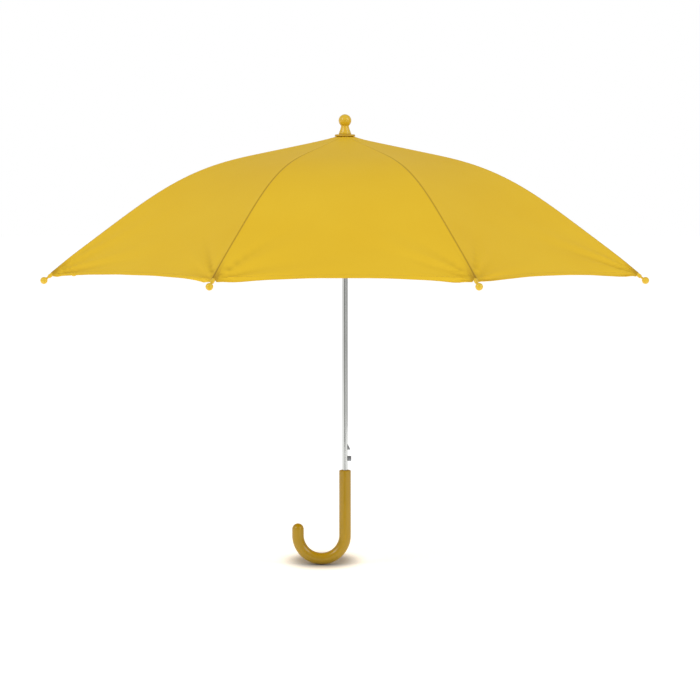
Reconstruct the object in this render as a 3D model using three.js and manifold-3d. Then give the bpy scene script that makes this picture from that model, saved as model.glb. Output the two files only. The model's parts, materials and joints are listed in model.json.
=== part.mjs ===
// A children's umbrella: eight ribs, a double-strut automatic frame and a hooked handle.
// Millimetres, +Z up. The origin is on the shaft's axis, halfway up the straight grip. The hook
// reaches towards -X and the catch faces +X. Each rib's pieces are drawn in the plane y = 0, with
// x outwards from the shaft, and then turned to the rib's place.
import * as THREE from 'three';
import { mergeVertices } from 'three/addons/utils/BufferGeometryUtils.js';
import Module from 'manifold-3d';

const wasm = await Module();
wasm.setup();

// Driving dimensions
const ribCount = 8;
const gap = 0.3; // between pieces that don't slide on each other

const shaftRadius = 4;
const shaftWall = 0.7;
const shaftInHandle = 61; // length of shaft inside the grip
const slideGap = 0.3; // round the shaft, under every hub
const shaftInFinial = 8;
const slotSpare = 0.4; // to each side of the catch
const slotBelow = 5; // shaft slot past the button
const slotAbove = 2; // and past the latch

const gripLength = 96.4;
const gripRadius = 8.6;
const gripRounding = 2.6;
const collarRecess = 1.6; // depth and width of the recess round the shaft
const hookRadius = 34.5; // to the middle of the hook's bar
const hookLeg = 9; // straight end of the hook

const buttonGap = 13.3; // grip to button
const buttonHeight = 7.3;
const buttonReach = 5.2; // past the shaft
const latchHeight = 10;
const latchReach = 3.6;
const catchWidth = 1.6;
const catchThickness = 1.1;
const catchInset = 0.7; // from the shaft's bore
const catchFoot = 43; // above the shaft's bottom
const catchFootHeight = 3;

const tipCircleRadius = 450;
const tipBallRadius = 5;
const tipNeckRadius = 1.5;
const tipNeckLength = 4;
const tipSocketRadius = 2.7;
const tipSocketLength = 13;

const canopyRise = 13.6; // the fabric's straight upper slope, met at the axis, above the rib hinges
const upperSlope = 0.203;
const lowerSlope = 0.712;
const bendStart = 130; // radius where the dome starts to turn down
const bendEnd = 350;
const peakRise = 2.2;
const peakReach = 12;
const clampRadius = 14; // the fabric lies flat under the top washer
const fabricThickness = 0.9;
const seamGap = 0.25; // from a section's edge to the middle of its gore, at the hem
const hemInset = 10; // the hem's corners inside the tip circle
const hemScallop = 0.02; // share of the radius that the hem curves in between ribs
const gorePull = 8.7; // the gore's sag between ribs, at the hem

const ribWidth = 2.4;
const ribHeight = 2.2;
const ribDepthAtHub = 3; // rib below the fabric
const ribDepthGain = 3; // and how much more at the tip
const hubDip = 9; // the rib's end bends down to the crown wire
const hubDipReach = 12;

const hubDepth = 4; // shaft surface to a hinge wire
const wireRadius = 0.6;
const eyeRadius = 1.9;
const eyeHole = 1.05;
const hubRim = 1.6; // hub past the hinge wire
const slotClearance = 0.6;

const linkRadius = 193; // the joint in the rib
const linkDrop = 3.5; // its pin below the rib's middle
const lugThickness = 1.2;
const lugRadius = 2;
const lugOverlap = 0.2; // how far a lug reaches into its rib's side
const bendGap = 3; // from the pin to each rib's cut end
const pinRadius = 0.9;
const pinHole = 1.25;
const linkThickness = 1.4;
const linkHalfHeight = 1.1;
const foldedLean = 4; // degrees from upright

const strutLength = 80;
const strutReach = 45; // along the stretcher, from its hub
const strutHalfHeight = 1.4;
const strutGap = 1.2; // between a strut and its stretcher, side by side

const crownBelow = 8;
const crownAbove = 11.2;
const sliderBelow = 6;
const sliderAbove = 6.5;
const flangeBelow = 4;
const flangeAbove = 3.6;
const flangeRim = 2.6;
const runnerHingeOut = 3.15; // the struts' hinges past the other hubs' rims
const sleeveRadius = 6.6;
const latchWindow = 11.5;
const sleeveAboveWindow = 22.2;
const sleeveBand = 7.5;
const sleeveRest = 1.2; // folded, from the button to the sleeve's end
const windowSpare = 0.6; // to each side of the catch
const latchClearance = 0.5;

const springWire = 0.55;
const springRadius = 5.7;
const springTurns = 9;

const washerRadius = 15;
const washerThickness = 2.8;
const finialBall = 9.2;
const finialNeck = 6;
const finialFoot = 9.2;
const finialHeight = 29;

// Places that follow from them
const turn = (2 * Math.PI) / ribCount;
const radians = Math.PI / 180;
const hingeRadius = shaftRadius + hubDepth;
const boreRadius = shaftRadius + slideGap;
const hubRadius = hingeRadius + hubRim;
const coreRadius = hingeRadius - eyeRadius - gap;
const grooveRadius = hingeRadius - wireRadius - gap;
const grooveHalf = wireRadius + gap;
const hemRadius = tipCircleRadius - hemInset;

const gripTop = gripLength / 2;
const bendHeight = -gripLength / 2;
const buttonBottom = gripTop + buttonGap;
const sleeveEnd = buttonBottom + buttonHeight + sleeveRest;
const latchBottom = sleeveEnd + sleeveBand + latchClearance;
const foldedRunner = sleeveEnd + sleeveBand + latchWindow + sleeveAboveWindow;

// The fabric along a rib, above the rib hinges: an upper slope, an even bend, a lower slope.
function fabricRise(radius) {
  const r = Math.max(radius, clampRadius);
  const x = THREE.MathUtils.clamp((r - bendStart) / (bendEnd - bendStart), 0, 1);
  const bend = (bendEnd - bendStart) * (x ** 3 - x ** 4 / 2) + Math.max(r - bendEnd, 0);
  const peak = peakRise * Math.exp(-(r - hingeRadius) / peakReach);
  return canopyRise - upperSlope * r - (lowerSlope - upperSlope) * bend + peak;
}

// The rib's middle line, above the rib hinges
function ribRise(r) {
  const depth = ribDepthAtHub + ribDepthGain * (r / tipCircleRadius) ** 2;
  return fabricRise(r) - depth - hubDip * Math.exp(-(r - hingeRadius) / hubDipReach);
}

// The linkage: rib and stretcher are equal links, so the upper slider stays upright as it slides.
const pinRise = ribRise(linkRadius) - linkDrop;
const linkRun = linkRadius - hingeRadius;
const sliderRise = 2 * pinRise;
const linkLength = Math.hypot(linkRun, pinRise);
const openLean = Math.atan2(-pinRise, linkRun);
const foldedAngle = (90 - foldedLean) * radians;
const strutSide = linkThickness + strutGap;
const runnerHinge = hubRadius + runnerHingeOut;
const runnerWireRadius = Math.hypot(runnerHinge, strutSide);
const elbow = { // where strut and stretcher meet
  x: hingeRadius + strutReach * Math.cos(openLean),
  rise: sliderRise + strutReach * Math.sin(openLean),
};
const runnerRise = elbow.rise - Math.sqrt(strutLength ** 2 - (elbow.x - runnerHinge) ** 2);
const foldedElbow = hingeRadius + strutReach * Math.cos(foldedAngle) - runnerHinge;
const foldedSpacing = Math.sqrt(strutLength ** 2 - foldedElbow ** 2)
  - strutReach * Math.sin(foldedAngle);
const crownHeight = foldedRunner + foldedSpacing + 2 * linkLength * Math.sin(foldedAngle);

const sliderHeight = crownHeight + sliderRise;
const runnerHeight = crownHeight + runnerRise;
const pinHeight = crownHeight + pinRise;
const washerBottom = crownHeight + fabricRise(0) + fabricThickness / 2 + gap;
const finialBottom = washerBottom + washerThickness + gap;
const shaftTop = finialBottom + shaftInFinial;
const shaftBottom = gripTop - shaftInHandle;

// Solids
function toSolid(geometry) {
  geometry.deleteAttribute('normal');
  geometry.deleteAttribute('uv');
  const merged = mergeVertices(geometry, 1e-4);
  return new wasm.Manifold(new wasm.Mesh({
    numProp: 3,
    vertProperties: new Float32Array(merged.attributes.position.array),
    triVerts: new Uint32Array(merged.index.array),
  }));
}

function toGeometry(solid) {
  const mesh = solid.getMesh();
  const geometry = new THREE.BufferGeometry();
  geometry.setAttribute('position', new THREE.BufferAttribute(mesh.vertProperties, 3));
  geometry.setIndex(new THREE.BufferAttribute(mesh.triVerts, 1));
  return geometry;
}

// A solid of revolution about the shaft, from [radius, height] points that close on themselves
function turned(points, segments = 24) {
  const profile = points.map(([r, z]) => new THREE.Vector2(r, z));
  return toSolid(new THREE.LatheGeometry(profile, segments).rotateX(Math.PI / 2));
}

function tube(inner, outer, bottom, top, segments = 24) {
  return turned([[inner, bottom], [outer, bottom], [outer, top], [inner, top],
    [inner, bottom]], segments);
}

function rod(radius, bottom, top, segments = 24) {
  return turned([[0, bottom], [radius, bottom], [radius, top], [0, top]], segments);
}

// A flat piece: its outline is in the plane of x and z, and it runs from y = low to y = high
function plate(shape, low, high) {
  const geometry = new THREE.ExtrudeGeometry(shape, {
    depth: high - low, bevelEnabled: false, curveSegments: 8,
  });
  return toSolid(geometry.rotateX(Math.PI / 2).translate(0, high, 0));
}

function disc(x, z, radius, low, high, segments = 8) {
  const geometry = new THREE.CylinderGeometry(radius, radius, high - low, segments);
  return toSolid(geometry.translate(x, (low + high) / 2, z));
}

function box(low, high) {
  const size = high.map((v, k) => v - low[k]);
  const middle = high.map((v, k) => (v + low[k]) / 2);
  return toSolid(new THREE.BoxGeometry(...size).translate(...middle));
}

// A flat bar between two points of the plane
function bar(from, to, halfHeight, low, high) {
  const length = Math.hypot(to[0] - from[0], to[1] - from[1]);
  const angle = Math.atan2(to[1] - from[1], to[0] - from[0]);
  const geometry = new THREE.BoxGeometry(length, high - low, 2 * halfHeight)
    .translate(length / 2, 0, 0).rotateY(-angle).translate(from[0], (low + high) / 2, from[1]);
  return toSolid(geometry);
}

// A strip that follows a height over a range of radii
function strip(height, start, end, steps) {
  const top = [];
  const bottom = [];
  for (let k = 0; k <= steps; k += 1) {
    const r = THREE.MathUtils.lerp(start, end, k / steps);
    const slope = height(r + 1) - height(r);
    const half = (ribHeight / 2) * Math.hypot(1, slope);
    top.push(new THREE.Vector2(r, height(r) + half));
    bottom.unshift(new THREE.Vector2(r, height(r) - half));
  }
  return plate(new THREE.Shape([...top, ...bottom]), -ribWidth / 2, ribWidth / 2);
}

// Slots for the links' ends, one at each rib
function cutSlots(hub, inner, low, high, side, halfWidth) {
  let cut = hub;
  for (let k = 0; k < ribCount; k += 1) {
    const slot = box([inner, side - halfWidth, low], [4 * hubRadius, side + halfWidth, high]);
    cut = cut.subtract(slot.rotate([0, 0, ((k + 0.5) * turn) / radians]));
  }
  return cut;
}

function wireRing(radius, height) {
  return new THREE.TorusGeometry(radius, wireRadius, 6, 3 * ribCount).translate(0, 0, height);
}

// The frame's fixed pieces
function shaft() {
  const slot = box([0, -catchWidth / 2 - slotSpare, buttonBottom - slotBelow],
    [2 * shaftRadius, catchWidth / 2 + slotSpare, latchBottom + latchHeight + slotAbove]);
  return tube(shaftRadius - shaftWall, shaftRadius, shaftBottom, shaftTop).subtract(slot);
}

class HookLine extends THREE.Curve {
  getPoint(t) {
    const arc = Math.PI * hookRadius;
    const start = gripRadius; // a little of the straight grip
    const along = t * (start + arc + hookLeg) - start;
    if (along < 0) return new THREE.Vector3(0, 0, bendHeight - along);
    if (along > arc) return new THREE.Vector3(-2 * hookRadius, 0, bendHeight + along - arc);
    const angle = along / hookRadius;
    const x = -hookRadius + hookRadius * Math.cos(angle);
    return new THREE.Vector3(x, 0, bendHeight - hookRadius * Math.sin(angle));
  }
}

function handle() {
  const section = new THREE.Shape().absarc(0, 0, gripRadius, 0, 2 * Math.PI);
  const hook = toSolid(new THREE.ExtrudeGeometry(section, {
    steps: 18, curveSegments: 10, extrudePath: new HookLine(),
  }));
  const rounding = [0, 30, 60, 90].map((a) => [
    gripRadius - gripRounding + gripRounding * Math.cos(a * radians),
    gripTop - gripRounding + gripRounding * Math.sin(a * radians),
  ]);
  const low = bendHeight + gripRadius / 2;
  const grip = turned([[0, low], [gripRadius, low], ...rounding, [0, gripTop]], 20);
  const end = new THREE.SphereGeometry(gripRadius * 0.999, 20, 8)
    .rotateX(Math.PI / 2).translate(-2 * hookRadius, 0, bendHeight + hookLeg);
  return grip.add(hook).add(toSolid(end))
    .subtract(rod(boreRadius, shaftBottom - gap, gripTop + 1))
    .subtract(rod(boreRadius + collarRecess, gripTop - collarRecess, gripTop + 1));
}

function finial() {
  const middle = finialHeight - finialBall;
  const ball = [-50, -30, -10, 10, 30, 50, 70].map((a) => [
    finialBall * Math.cos(a * radians), middle + finialBall * Math.sin(a * radians)]);
  const outline = [[0, 0], [finialFoot - 0.8, 0], [finialFoot, 1], [finialFoot - 0.4, 3.2],
    [finialNeck + 0.8, 6.6], [finialNeck, 9.6], ...ball, [0, finialHeight]];
  return turned(outline.map(([r, z]) => [r, finialBottom + z]))
    .subtract(rod(boreRadius, finialBottom - 1, shaftTop + gap));
}

function topWasher() {
  const top = washerBottom + washerThickness;
  return turned([[boreRadius, washerBottom], [washerRadius - 0.8, washerBottom],
    [washerRadius, washerBottom + 1], [washerRadius - 0.5, top], [boreRadius, top],
    [boreRadius, washerBottom]], 32);
}

// A hub with a groove for its hinge wire and a slot for each link
function hub(middle, below, above, slotLow, slotHigh) {
  const groove = tube(grooveRadius, 2 * hubRadius, middle - grooveHalf, middle + grooveHalf);
  return cutSlots(
    tube(boreRadius, hubRadius, middle - below, middle + above).subtract(groove),
    coreRadius, middle + slotLow, middle + slotHigh, 0, ribWidth / 2 + slotClearance);
}

// The sliding pieces
function runner() {
  const groove = tube(runnerWireRadius - wireRadius - gap, 2 * runnerWireRadius,
    runnerHeight - grooveHalf, runnerHeight + grooveHalf, 32);
  const flange = cutSlots(
    tube(boreRadius, runnerWireRadius + flangeRim, runnerHeight - flangeBelow,
      runnerHeight + flangeAbove, 32).subtract(groove),
    runnerHinge - eyeRadius - 2 * gap, runnerHeight - eyeRadius - 2 * gap,
    runnerHeight + flangeAbove + 1, strutSide, linkThickness / 2 + slotClearance);
  const windowTop = runnerHeight - sleeveAboveWindow;
  const bottom = windowTop - latchWindow - sleeveBand;
  const sleeve = tube(boreRadius, sleeveRadius, bottom, runnerHeight - flangeBelow + 1);
  const opening = box([0, -catchWidth / 2 - windowSpare, windowTop - latchWindow],
    [2 * sleeveRadius, catchWidth / 2 + windowSpare, windowTop]);
  return flange.add(sleeve).subtract(opening);
}

class SpringLine extends THREE.Curve {
  getPoint(t) {
    const bottom = runnerHeight + flangeAbove + springWire + gap;
    const top = sliderHeight - sliderBelow - springWire - gap;
    const angle = 2 * Math.PI * springTurns * t;
    const z = THREE.MathUtils.lerp(bottom, top, t);
    return new THREE.Vector3(springRadius * Math.cos(angle), springRadius * Math.sin(angle), z);
  }
}

function openingSpring() {
  const section = new THREE.Shape().absarc(0, 0, springWire, 0, 2 * Math.PI);
  return toSolid(new THREE.ExtrudeGeometry(section, {
    steps: 10 * springTurns, curveSegments: 3, extrudePath: new SpringLine(),
  }));
}

// One strip of spring steel in the shaft, with the latch and the button folded out of it
function springCatch() {
  const face = shaftRadius - shaftWall - catchInset;
  const back = face - catchThickness;
  const bottom = shaftBottom + catchFoot;
  const button = shaftRadius + buttonReach;
  const latch = shaftRadius + latchReach;
  const outline = [[-face, bottom], [face - 0.6, bottom], [face, bottom + 8],
    [face, buttonBottom], [button, buttonBottom], [button, buttonBottom + buttonHeight],
    [face, buttonBottom + buttonHeight], [face, latchBottom], [latch, latchBottom],
    [latch, latchBottom + 1], [face + 0.6, latchBottom + latchHeight],
    [back, latchBottom + latchHeight], [back, bottom + catchFootHeight], [-face, bottom + catchFootHeight]];
  const shape = new THREE.Shape(outline.map(([x, z]) => new THREE.Vector2(x, z)));
  return plate(shape, -catchWidth / 2, catchWidth / 2);
}

// One rib's pieces
const onRib = (r) => crownHeight + ribRise(r);
const pin = [linkRadius, pinHeight];

function innerRib() {
  const side = ribWidth / 2;
  const lugSides = [-side - lugThickness + lugOverlap, -side + lugOverlap];
  const lug = bar(pin, [linkRadius - 5, onRib(linkRadius - 5)], lugRadius, ...lugSides)
    .add(disc(...pin, lugRadius, ...lugSides));
  return strip(onRib, hingeRadius, linkRadius - bendGap, 10)
    .add(disc(hingeRadius, crownHeight, eyeRadius, -side, side))
    .add(lug)
    .subtract(disc(hingeRadius, crownHeight, eyeHole, -side - 1, side + 1))
    .add(disc(...pin, pinRadius, lugSides[0], side + lugThickness + lugOverlap, 6));
}

function outerRib() {
  const side = ribWidth / 2;
  const lugSides = [side - lugOverlap, side + lugThickness - lugOverlap];
  const lug = bar(pin, [linkRadius + 6, onRib(linkRadius + 6)], lugRadius, ...lugSides)
    .add(disc(...pin, lugRadius, ...lugSides));
  return strip(onRib, linkRadius + bendGap, tipCircleRadius - tipBallRadius - tipNeckLength, 8)
    .add(lug)
    .subtract(disc(...pin, pinHole, -side - 1, side + 2 * lugThickness));
}

function stretcher() {
  const hinge = [hingeRadius, sliderHeight];
  const side = linkThickness / 2;
  return bar(hinge, pin, linkHalfHeight, -side, side)
    .add(disc(...hinge, eyeRadius, -side, side))
    .add(disc(...pin, lugRadius, -side, side))
    .subtract(disc(...hinge, eyeHole, -1, 1))
    .subtract(disc(...pin, pinHole, -1, 1));
}

function strut() {
  const hinge = [runnerHinge, runnerHeight];
  const end = [elbow.x, crownHeight + elbow.rise];
  const low = strutSide - linkThickness / 2;
  const high = strutSide + linkThickness / 2;
  return bar(hinge, end, strutHalfHeight, low, high)
    .add(disc(...hinge, eyeRadius, low, high))
    .add(disc(...end, eyeRadius, low, high))
    .add(disc(...end, pinRadius, high - 0.1, high + 0.6, 6))
    .subtract(disc(...hinge, eyeHole, low - 1, high + 1));
}

// A moulded ball on a neck, with a socket that the rib's end sits in
function tip() {
  const socketHole = Math.hypot(ribWidth, ribHeight) / 2 + gap;
  const ball = [-55, -20, 10, 40, 70].map((a) => [
    tipBallRadius * Math.cos(a * radians), tipBallRadius * Math.sin(a * radians)]);
  const neck = -tipBallRadius - tipNeckLength;
  const outline = [[0, neck + 0.5], [socketHole, neck - 0.5], [socketHole, neck - tipSocketLength],
    [tipSocketRadius, neck - tipSocketLength], [tipSocketRadius, neck - 1],
    [tipNeckRadius, neck + 1.6], [tipNeckRadius, -tipBallRadius], ...ball, [0, tipBallRadius]];
  const slope = onRib(tipCircleRadius) - onRib(tipCircleRadius - 1);
  const profile = outline.map(([r, z]) => new THREE.Vector2(r, z));
  return new THREE.LatheGeometry(profile, 8).rotateX(Math.PI / 2)
    .rotateY(Math.PI / 2 - Math.atan(slope))
    .translate(tipCircleRadius, 0, onRib(tipCircleRadius));
}

// A point of the fabric, r out along the rib and half a gore at most to either side. Between ribs
// it lies on the chord, drawn in at the hem and pulled down by its own tension.
function fabricPoint(r, across) {
  const fullness = 2 * Math.abs(across) - across ** 2;
  const share = (r / hemRadius) ** 3;
  const along = r * (1 - hemScallop * share * fullness);
  const side = Math.max(Math.abs(across) / 2 - seamGap / along * Math.abs(across), 0);
  const sag = gorePull * fullness * (r / hemRadius) ** 1.5;
  return [along * (1 - side * (1 - Math.cos(turn))), Math.sign(across) * along * side
    * Math.sin(turn), crownHeight + fabricRise(along) - sag];
}

// The fabric that goes with one rib, from the middle of one gore to the middle of the next
function canopySection() {
  const radii = [7, 14, 30, 80, 140, 185, 225, 265, 305, 350, 395];
  const rows = [...radii.filter((r) => r < hemRadius - 15), hemRadius];
  const columns = [-1, -0.5, 0, 0.5, 1];
  const positions = [];
  const indices = [];
  for (const level of [0.5, -0.5]) {
    for (const r of rows) {
      for (const across of columns) {
        const [x, y, z] = fabricPoint(r, across);
        positions.push(x, y, z + level * fabricThickness);
      }
    }
  }
  const wide = columns.length;
  const layer = rows.length * wide;
  const quad = (a, b, c, d) => indices.push(a, b, c, a, c, d);
  for (let i = 0; i < rows.length - 1; i += 1) {
    for (let j = 0; j < wide - 1; j += 1) {
      const a = i * wide + j;
      quad(a, a + wide, a + wide + 1, a + 1);
      quad(layer + a, layer + a + 1, layer + a + wide + 1, layer + a + wide);
    }
    const left = i * wide;
    const right = left + wide - 1;
    quad(left, layer + left, layer + left + wide, left + wide);
    quad(right, right + wide, layer + right + wide, layer + right);
  }
  for (let j = 0; j < wide - 1; j += 1) {
    const last = layer - wide + j;
    quad(j, j + 1, layer + j + 1, layer + j);
    quad(last, layer + last, layer + last + 1, last + 1);
  }
  const geometry = new THREE.BufferGeometry();
  geometry.setAttribute('position', new THREE.Float32BufferAttribute(positions, 3));
  geometry.setIndex(indices);
  return geometry;
}

// Finishes
const finish = (color, roughness, metalness = 0) => new THREE.MeshStandardMaterial({
  color, roughness, metalness,
});
const finishes = {
  fabric: finish(0xe1bb34, 0.85),
  moulded: finish(0xe2c03c, 0.35),
  grip: finish(0xc79f28, 0.2),
  clamp: finish(0xa08a2c, 0.5),
  plated: finish(0xc8cacc, 0.15, 1),
  steel: finish(0xa6a8aa, 0.35, 1),
  hub: finish(0x1d1d1f, 0.45),
};

const umbrella = new THREE.Group();

function place(parent, name, shape, material) {
  const geometry = shape.isBufferGeometry ? shape : toGeometry(shape);
  const mesh = new THREE.Mesh(geometry, material);
  mesh.name = name;
  parent.add(mesh);
}

const hubDown = crownBelow + 1;
const sliderUp = sliderAbove + 1;
place(umbrella, 'shaft', shaft(), finishes.plated);
place(umbrella, 'handle', handle(), finishes.grip);
place(umbrella, 'finial', finial(), finishes.moulded);
place(umbrella, 'top_washer', topWasher(), finishes.clamp);
place(umbrella, 'crown', hub(crownHeight, crownBelow, crownAbove, -hubDown, 5), finishes.hub);
place(umbrella, 'crown_wire', wireRing(hingeRadius, crownHeight), finishes.steel);
place(umbrella, 'upper_slider',
  hub(sliderHeight, sliderBelow, sliderAbove, -eyeRadius - gap, sliderUp), finishes.hub);
place(umbrella, 'upper_slider_wire', wireRing(hingeRadius, sliderHeight), finishes.steel);
place(umbrella, 'opening_spring', openingSpring(), finishes.steel);
place(umbrella, 'runner', runner(), finishes.hub);
place(umbrella, 'runner_wire', wireRing(runnerWireRadius, runnerHeight), finishes.steel);
place(umbrella, 'catch', springCatch(), finishes.steel);

const ribPieces = {
  rib: [innerRib(), finishes.plated],
  rib_end: [outerRib(), finishes.plated],
  tip: [tip(), finishes.moulded],
  stretcher: [stretcher(), finishes.plated],
  strut: [strut(), finishes.plated],
  canopy: [canopySection(), finishes.fabric],
};
for (let k = 0; k < ribCount; k += 1) {
  const ribGroup = new THREE.Group();
  ribGroup.rotation.z = (k + 0.5) * turn;
  for (const [name, [shape, material]] of Object.entries(ribPieces)) {
    place(ribGroup, `${name}_${k + 1}`, shape, material);
  }
  umbrella.add(ribGroup);
}

export default umbrella;
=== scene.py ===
import json
import math
import bpy
import numpy as np
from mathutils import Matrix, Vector


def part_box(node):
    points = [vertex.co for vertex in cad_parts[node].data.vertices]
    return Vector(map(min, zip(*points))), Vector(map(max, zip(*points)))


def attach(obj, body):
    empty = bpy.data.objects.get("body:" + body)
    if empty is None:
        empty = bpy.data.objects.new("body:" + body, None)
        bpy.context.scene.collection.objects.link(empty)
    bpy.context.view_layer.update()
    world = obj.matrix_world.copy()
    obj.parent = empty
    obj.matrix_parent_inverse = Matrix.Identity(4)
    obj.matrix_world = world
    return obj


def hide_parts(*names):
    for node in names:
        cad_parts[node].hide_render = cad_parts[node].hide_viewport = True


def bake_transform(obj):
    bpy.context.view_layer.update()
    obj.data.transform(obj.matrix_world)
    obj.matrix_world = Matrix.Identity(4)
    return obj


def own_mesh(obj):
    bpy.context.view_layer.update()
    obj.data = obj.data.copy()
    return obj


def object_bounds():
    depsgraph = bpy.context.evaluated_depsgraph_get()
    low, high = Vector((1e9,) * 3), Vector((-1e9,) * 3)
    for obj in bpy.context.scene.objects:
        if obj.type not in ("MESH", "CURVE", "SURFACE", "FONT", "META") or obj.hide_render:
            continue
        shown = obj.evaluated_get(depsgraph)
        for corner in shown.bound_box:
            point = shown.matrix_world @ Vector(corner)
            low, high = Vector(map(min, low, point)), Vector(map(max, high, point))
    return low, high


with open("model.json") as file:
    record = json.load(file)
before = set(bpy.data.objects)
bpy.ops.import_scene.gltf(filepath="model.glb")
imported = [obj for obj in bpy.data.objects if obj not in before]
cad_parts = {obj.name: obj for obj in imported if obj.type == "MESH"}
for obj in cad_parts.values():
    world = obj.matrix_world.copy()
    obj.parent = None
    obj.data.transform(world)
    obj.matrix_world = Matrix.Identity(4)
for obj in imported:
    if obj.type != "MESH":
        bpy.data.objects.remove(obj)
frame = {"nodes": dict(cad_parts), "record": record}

cadBox = [list(corner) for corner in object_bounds()]
mm = 0.001
joints = {joint["name"]: joint for joint in frame["record"]["behaviour"]["joints"]}
print("stage: frame loaded,", len(frame["nodes"]), "CAD nodes")

# Places in the frame that the pieces are built round
crownHinge = Vector(joints["canopy_fold"]["pos_m"])
linkPin = Vector(joints["stretcher_hinge_1"]["pos_m"])
sliderHinge = Vector(joints["upper_slider_hinge"]["pos_m"])
runnerHinge = Vector(joints["strut_hinge_1"]["pos_m"])
ribCount = sum(name.startswith("canopy_") for name in frame["nodes"])
turn = 2 * math.pi / ribCount
hingeRadius = crownHinge.xy.length
linkRadius = linkPin.xy.length
crownZ = crownHinge.z
bodyAxis = np.array([0.0, 0.0, 1.0])


def ribAngle(rib):
    return (rib - 0.5) * turn


def outward(rib):
    return np.array([math.cos(ribAngle(rib)), math.sin(ribAngle(rib)), 0.0])


def sideways(rib):
    return np.array([-math.sin(ribAngle(rib)), math.cos(ribAngle(rib)), 0.0])


# The dome's shape: an upper slope, an even bend and a lower slope, as the ribs hold it
dome = {
    "rise": 13.6 * mm,
    "upperSlope": 0.203,
    "lowerSlope": 0.712,
    "bendStart": 130 * mm,
    "bendEnd": 350 * mm,
    "peakRise": 2.2 * mm,
    "peakReach": 12 * mm,
    "clampRadius": 14 * mm,
    "tipRadius": 450 * mm,
    "hemRadius": 440 * mm,
    "hemScallop": 0.02,
    "gorePull": 8.7 * mm,
    "ribDepth": 3 * mm,
    "ribDepthGain": 3 * mm,
    "hubDip": 9 * mm,
    "hubDipReach": 12 * mm,
}


def fabricHeight(radius):
    r = np.maximum(radius, dome["clampRadius"])
    span = dome["bendEnd"] - dome["bendStart"]
    x = np.clip((r - dome["bendStart"]) / span, 0, 1)
    bend = span * (x**3 - x**4 / 2) + np.maximum(r - dome["bendEnd"], 0)
    peak = dome["peakRise"] * np.exp(-(r - hingeRadius) / dome["peakReach"])
    slopeGain = dome["lowerSlope"] - dome["upperSlope"]
    return crownZ + dome["rise"] - dome["upperSlope"] * r - slopeGain * bend + peak


def ribHeight(radius):
    depth = dome["ribDepth"] + dome["ribDepthGain"] * (radius / dome["tipRadius"]) ** 2
    dip = dome["hubDip"] * np.exp(-(radius - hingeRadius) / dome["hubDipReach"])
    return fabricHeight(radius) - depth - dip


# Materials
def linear(hexColour):
    parts = [int(hexColour[i:i + 2], 16) / 255 for i in (1, 3, 5)]
    return [c / 12.92 if c <= 0.04045 else ((c + 0.055) / 1.055) ** 2.4 for c in parts] + [1.0]


def addNode(tree, kind, settings, links=()):
    node = tree.nodes.new(kind)
    for key, value in settings.items():
        if isinstance(key, int) or key in node.inputs:
            node.inputs[key].default_value = value
        else:
            setattr(node, key, value)
    connect(tree, node, dict(links))
    return node


def connect(tree, node, links):
    for socket, (source, output) in links.items():
        tree.links.new(source.outputs[output], node.inputs[socket])


def newMaterial(name, shaderSettings):
    material = bpy.data.materials.new(name)
    material.use_nodes = True
    tree = material.node_tree
    tree.nodes.clear()
    shader = addNode(tree, "ShaderNodeBsdfPrincipled", shaderSettings)
    addNode(tree, "ShaderNodeOutputMaterial", {}, {"Surface": (shader, "BSDF")})
    return material, tree, shader


def waveScale(pitch):
    # The wave texture's scale that puts its bands a pitch apart
    return 2 * math.pi / 20 / pitch


def taffeta():
    # Polyester taffeta, plain woven and calendered: nearly smooth, with a soft glow at grazing angles.
    # The real threads are 0.13 mm apart; the weave is drawn at 1.1 mm so that a close view shows it.
    material, tree, shader = newMaterial("polyesterTaffeta", {
        "Roughness": 0.62, "Specular IOR Level": 0.2, "Sheen Weight": 0.12,
        "Sheen Roughness": 0.35, "Sheen Tint": linear("#FFD860")})
    weaveScale = waveScale(1.1 * mm)
    uv = addNode(tree, "ShaderNodeUVMap", {"uv_map": "cloth"})
    warp = addNode(tree, "ShaderNodeTexWave", {
        "bands_direction": "X", "Scale": weaveScale}, {"Vector": (uv, "UV")})
    weft = addNode(tree, "ShaderNodeTexWave", {
        "bands_direction": "Y", "Scale": weaveScale}, {"Vector": (uv, "UV")})
    weave = addNode(tree, "ShaderNodeMath", {"operation": "MULTIPLY"}, {
        0: (warp, "Fac"), 1: (weft, "Fac")})
    place = addNode(tree, "ShaderNodeTexCoord", {})
    clouds = addNode(tree, "ShaderNodeTexNoise", {"Scale": 9.0, "Detail": 3.0}, {
        "Vector": (place, "Object")})
    dye = addNode(tree, "ShaderNodeMix", {
        "data_type": "RGBA", 6: linear("#E4B820"), 7: linear("#EAC22C")}, {
        0: (clouds, "Fac")})
    weaveShade = addNode(tree, "ShaderNodeMapRange", {"To Min": 0.94, "To Max": 1.03}, {
        "Value": (weave, "Value")})
    woven = addNode(tree, "ShaderNodeVectorMath", {"operation": "SCALE"}, {
        0: (dye, 2), "Scale": (weaveShade, "Result")})
    # The seamShade attribute darkens the cloth towards brown: painted shade along the seams, beside the
    # tip corners and in the corner creases
    shade = addNode(tree, "ShaderNodeAttribute", {"attribute_name": "seamShade"})
    paintedShadeCloth = addNode(tree, "ShaderNodeMix", {"data_type": "RGBA", 7: linear("#9A741A")}, {
        0: (shade, "Fac"), 6: (woven, "Vector")})
    bump = addNode(tree, "ShaderNodeBump", {"Strength": 0.25, "Distance": 0.08 * mm}, {
        "Height": (weave, "Value")})
    connect(tree, shader, {"Base Color": (paintedShadeCloth, 2), "Normal": (bump, "Normal")})
    return material


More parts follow.
